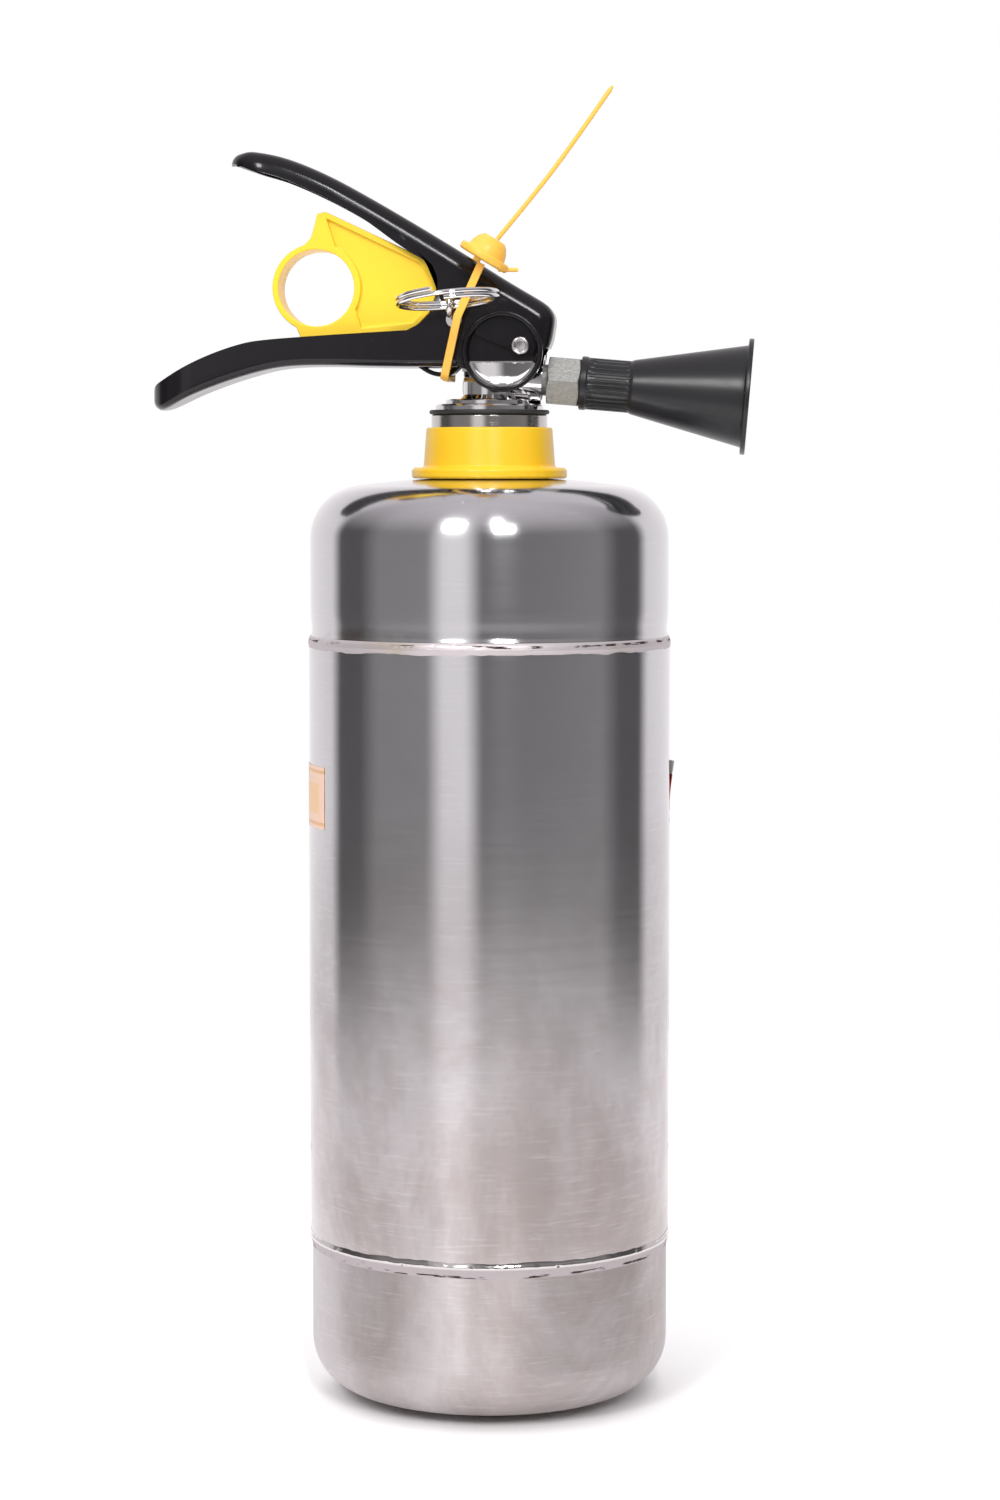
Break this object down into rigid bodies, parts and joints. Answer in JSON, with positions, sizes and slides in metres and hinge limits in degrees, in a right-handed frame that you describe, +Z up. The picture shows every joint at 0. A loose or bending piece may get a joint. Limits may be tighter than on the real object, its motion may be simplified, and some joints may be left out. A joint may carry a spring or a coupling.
{
  "type": "fire extinguisher",
  "caption": "Small upright stainless water extinguisher: squeeze valve, pressure gauge, carry handle, safety pin with ring, safety block, plastic seal and short horn nozzle.",
  "frame": {"origin": "centre of the resting flat under the bottom shell, on the vessel's axis", "axes": "+Z up along the vessel's axis, +X the way the nozzle points, -X the way the handles reach, +Y the way the gauge faces"},
  "size_m": [0.1825, 0.111, 0.3974],
  "materials": {
    "polished_steel": "polished, fine brushing",
    "weld": "ragged weld",
    "neck_steel": "turned",
    "collar_yellow": "semi-gloss",
    "label_print": "printed film",
    "sticker_print": "printed film",
    "black_rubber": "matt",
    "valve_chrome": "polished chrome",
    "brass": "turned",
    "spring_steel": "drawn wire",
    "dip_plastic": "moulded",
    "gauge_steel": "drawn",
    "gauge_face": "printed",
    "gauge_clear": "clear",
    "bright_chrome": "polished chrome",
    "needle_paint": "matt",
    "handle_black": "gloss powder coat",
    "rivet_steel": "rolled",
    "cast_grey": "grainy",
    "horn_black": "semi-gloss",
    "pin_steel": "plated",
    "block_yellow": "semi-gloss",
    "seal_orange": "translucent moulded"
  },
  "bodies": {
    "extinguisher": {"barrel": "polished_steel", "top_shell": "polished_steel", "bottom_shell": "polished_steel", "weld_bead_upper": "weld", "weld_bead_lower": "weld", "neck_weld": "weld", "neck_ring": "neck_steel", "neck_collar": "collar_yellow", "main_label": "label_print", "approval_sticker": "sticker_print", "neck_gasket": "black_rubber", "stem_o_rings": "black_rubber", "adapter_o_ring": "black_rubber", "valve_body": "valve_chrome", "stem_retainer": "brass", "gauge_stem": "brass", "bourdon_tube": "brass", "nozzle_orifice": "brass", "valve_spring": "spring_steel", "dip_tube_adapter": "dip_plastic", "dip_tube": "dip_plastic", "dip_strainer": "dip_plastic", "gauge_case": "gauge_steel", "gauge_dial": "gauge_face", "gauge_lens": "gauge_clear", "gauge_bezel": "bright_chrome", "carry_handle": "handle_black", "pivot_rivet": "rivet_steel", "nozzle_adapter": "cast_grey", "nozzle_horn": "horn_black", "seal_strap_back": "seal_orange"},
    "lever": {"squeeze_lever": "handle_black"},
    "stem": {"valve_stem": "brass", "stem_seal_disc": "black_rubber"},
    "needle": {"gauge_needle": "needle_paint"},
    "pin": {"safety_pin": "pin_steel", "seal_head": "seal_orange", "seal_strap_front": "seal_orange", "seal_tail": "seal_orange"},
    "ring": {"pull_ring": "bright_chrome"},
    "block": {"safety_block": "block_yellow"}
  },
  "joints": [
    {"name": "lever_squeeze", "type": "hinge", "parent": "extinguisher", "child": "lever", "pos_m": [0.01, 0, 0.3212], "axis": [0, -1, 0], "range_deg": [0, 14], "stiffness_Nm_per_rad": 1.1, "springref_deg": -14.32},
    {"name": "stem_press", "type": "slide", "parent": "extinguisher", "child": "stem", "axis": [0, 0, -1], "range_m": [0, 0.0047], "deforming": ["valve_spring"]},
    {"name": "pin_pull", "type": "slide", "parent": "extinguisher", "child": "pin", "axis": [0, -1, 0], "range_m": [0, 0.1035]},
    {"name": "ring_swing", "type": "hinge", "parent": "pin", "child": "ring", "pos_m": [-0.0106, -0.0169, 0.3331], "axis": [1, 0, 0], "range_deg": [-10, 20]},
    {"name": "block_pull", "type": "slide", "parent": "extinguisher", "child": "block", "axis": [-1, 0, 0], "range_m": [0, 0.0715]},
    {"name": "needle_turn", "type": "hinge", "parent": "extinguisher", "child": "needle", "pos_m": [0.0025, 0.024, 0.3094], "axis": [0, -1, 0], "range_deg": [-75, 75], "stiffness_Nm_per_rad": 0.0005}
  ],
  "couplings": [
    {"joint": "stem_press", "follows": "lever_squeeze", "m_per_rad": 0.0186},
    {"joint": "pin_pull", "follows": "lever_squeeze", "m_per_rad": 0.42},
    {"joint": "block_pull", "follows": "lever_squeeze", "m_per_rad": 0.29}
  ]
}
